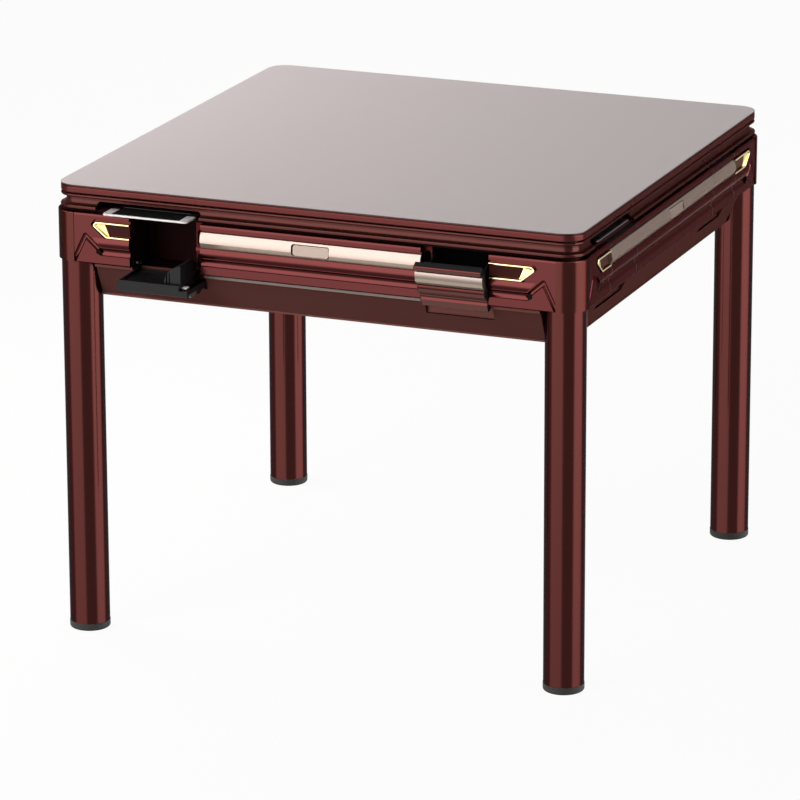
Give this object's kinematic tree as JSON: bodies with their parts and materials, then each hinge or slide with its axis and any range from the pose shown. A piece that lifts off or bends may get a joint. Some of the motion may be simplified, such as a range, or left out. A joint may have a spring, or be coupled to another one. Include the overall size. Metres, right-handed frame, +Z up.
{
  "type": "mahjong table with drawers",
  "caption": "Square four-leg mahjong table with a lift-off dining cover, tilting drawers, fold-down cup holders and slide-out shelves.",
  "frame": {"origin": "on the floor, under the middle of the bounding box; the two open parts of the front side put it 26.35 mm in front of the table's own axis", "axes": "+Z up; the front side, with the open drawer and cup holder, faces -Y; +X to the right of a person who faces that side"},
  "size_m": [0.966, 1.0188, 0.804],
  "materials": {
    "table_top": "satin",
    "red_board": "satin lacquer",
    "gasket_black": "matte",
    "red_rim": "gloss",
    "red_moulding": "satin",
    "champagne": "satin metallic",
    "gold": "polished gold",
    "inlay_maroon": "grained",
    "black_plastic": "satin",
    "maroon_plastic": "satin",
    "black_steel": "satin",
    "dark_red_pan": "matte",
    "leg_red": "gloss",
    "foot_black": "matte",
    "silver_frame": "satin",
    "bright_steel": "satin",
    "play_cloth": "matte",
    "board_core": "plain",
    "clear_dome": "clear",
    "white_dice": "gloss",
    "drum_grey": "matte",
    "lift_white": "matte",
    "motor_grey": "satin"
  },
  "bodies": {
    "table": {"chassis_frame": "black_steel", "rim_rails": "red_rim", "play_board": "board_core", "play_cloth": "play_cloth", "corner_posts": "red_moulding", "belly_pan": "dark_red_pan", "legs": "leg_red", "foot_caps": "foot_black", "leg_bolts": "black_steel", "fixed_strips": "champagne", "end_trims": "gold", "trim_inlays": "inlay_maroon", "hinge_pins": "bright_steel", "catch_plates": "maroon_plastic", "button_switches": "black_plastic", "drum_motor": "motor_grey", "console_base": "black_plastic", "dice_dome": "clear_dome", "dice": "white_dice", "side_panel_front": "red_moulding", "side_panel_right": "red_moulding", "side_panel_back": "red_moulding", "side_panel_left": "red_moulding"},
    "cover": {"cover_board": "red_board", "top_sheet": "table_top", "cover_gasket": "gasket_black"},
    "drum": {"mixing_drum": "drum_grey"},
    "lifts": {"tile_lifts": "lift_white"},
    "button_front": {"call_button_front": "champagne"},
    "cup_holder_front": {"cup_door_front": "red_moulding", "cup_strip_front": "champagne", "cup_tray_front": "black_plastic"},
    "drawer_front": {"drawer_face_front": "red_moulding", "drawer_strip_front": "champagne", "drawer_bin_front": "black_plastic"},
    "slide_shelf_front": {"shelf_front": "silver_frame"},
    "button_right": {"call_button_right": "champagne"},
    "cup_holder_right": {"cup_door_right": "red_moulding", "cup_strip_right": "champagne", "cup_tray_right": "black_plastic"},
    "drawer_right": {"drawer_face_right": "red_moulding", "drawer_strip_right": "champagne", "drawer_bin_right": "black_plastic"},
    "slide_shelf_right": {"shelf_right": "silver_frame"},
    "button_back": {"call_button_back": "champagne"},
    "cup_holder_back": {"cup_door_back": "red_moulding", "cup_strip_back": "champagne", "cup_tray_back": "black_plastic"},
    "drawer_back": {"drawer_face_back": "red_moulding", "drawer_strip_back": "champagne", "drawer_bin_back": "black_plastic"},
    "slide_shelf_back": {"shelf_back": "silver_frame"},
    "button_left": {"call_button_left": "champagne"},
    "cup_holder_left": {"cup_door_left": "red_moulding", "cup_strip_left": "champagne", "cup_tray_left": "black_plastic"},
    "drawer_left": {"drawer_face_left": "red_moulding", "drawer_strip_left": "champagne", "drawer_bin_left": "black_plastic"},
    "slide_shelf_left": {"shelf_left": "silver_frame"}
  },
  "joints": [
    {"name": "cover_lift_off", "type": "slide", "parent": "table", "child": "cover", "axis": [0, 0, 1], "range_m": [0, 0.15]},
    {"name": "drum_spin", "type": "hinge", "parent": "table", "child": "drum", "pos_m": [0, 0.02635, 0.7], "axis": [0, 0, 1], "continuous": true},
    {"name": "tile_lift", "type": "slide", "parent": "table", "child": "lifts", "axis": [0, 0, 1], "range_m": [0, 0.028]},
    {"name": "press_button_front", "type": "slide", "parent": "table", "child": "button_front", "axis": [0, 1, 0], "range_m": [0, 0.0025], "stiffness_N_per_m": 600, "springref_m": -0.001},
    {"name": "fold_cup_holder_front", "type": "hinge", "parent": "table", "child": "cup_holder_front", "pos_m": [0, -0.42365, 0.671], "axis": [1, 0, 0], "range_deg": [-90, 0]},
    {"name": "tilt_drawer_front", "type": "hinge", "parent": "table", "child": "drawer_front", "pos_m": [0, -0.42365, 0.671], "axis": [1, 0, 0], "range_deg": [-27, 0]},
    {"name": "pull_shelf_front", "type": "slide", "parent": "table", "child": "slide_shelf_front", "axis": [0, -1, 0], "range_m": [-0.038, 0]},
    {"name": "press_button_right", "type": "slide", "parent": "table", "child": "button_right", "axis": [-1, 0, 0], "range_m": [0, 0.0025], "stiffness_N_per_m": 600, "springref_m": -0.001},
    {"name": "fold_cup_holder_right", "type": "hinge", "parent": "table", "child": "cup_holder_right", "pos_m": [0.45, 0.02635, 0.671], "axis": [0, 1, 0], "range_deg": [0, 90]},
    {"name": "tilt_drawer_right", "type": "hinge", "parent": "table", "child": "drawer_right", "pos_m": [0.45, 0.02635, 0.671], "axis": [0, 1, 0], "range_deg": [0, 27]},
    {"name": "pull_shelf_right", "type": "slide", "parent": "table", "child": "slide_shelf_right", "axis": [1, 0, 0], "range_m": [0, 0.038]},
    {"name": "press_button_back", "type": "slide", "parent": "table", "child": "button_back", "axis": [0, -1, 0], "range_m": [0, 0.0025], "stiffness_N_per_m": 600, "springref_m": -0.001},
    {"name": "fold_cup_holder_back", "type": "hinge", "parent": "table", "child": "cup_holder_back", "pos_m": [0, 0.47635, 0.671], "axis": [-1, 0, 0], "range_deg": [0, 90]},
    {"name": "tilt_drawer_back", "type": "hinge", "parent": "table", "child": "drawer_back", "pos_m": [0, 0.47635, 0.671], "axis": [-1, 0, 0], "range_deg": [0, 27]},
    {"name": "pull_shelf_back", "type": "slide", "parent": "table", "child": "slide_shelf_back", "axis": [0, 1, 0], "range_m": [0, 0.038]},
    {"name": "press_button_left", "type": "slide", "parent": "table", "child": "button_left", "axis": [1, 0, 0], "range_m": [0, 0.0025], "stiffness_N_per_m": 600, "springref_m": -0.001},
    {"name": "fold_cup_holder_left", "type": "hinge", "parent": "table", "child": "cup_holder_left", "pos_m": [-0.45, 0.02635, 0.671], "axis": [0, -1, 0], "range_deg": [0, 90]},
    {"name": "tilt_drawer_left", "type": "hinge", "parent": "table", "child": "drawer_left", "pos_m": [-0.45, 0.02635, 0.671], "axis": [0, -1, 0], "range_deg": [0, 27]},
    {"name": "pull_shelf_left", "type": "slide", "parent": "table", "child": "slide_shelf_left", "axis": [-1, 0, 0], "range_m": [0, 0.038]}
  ]
}
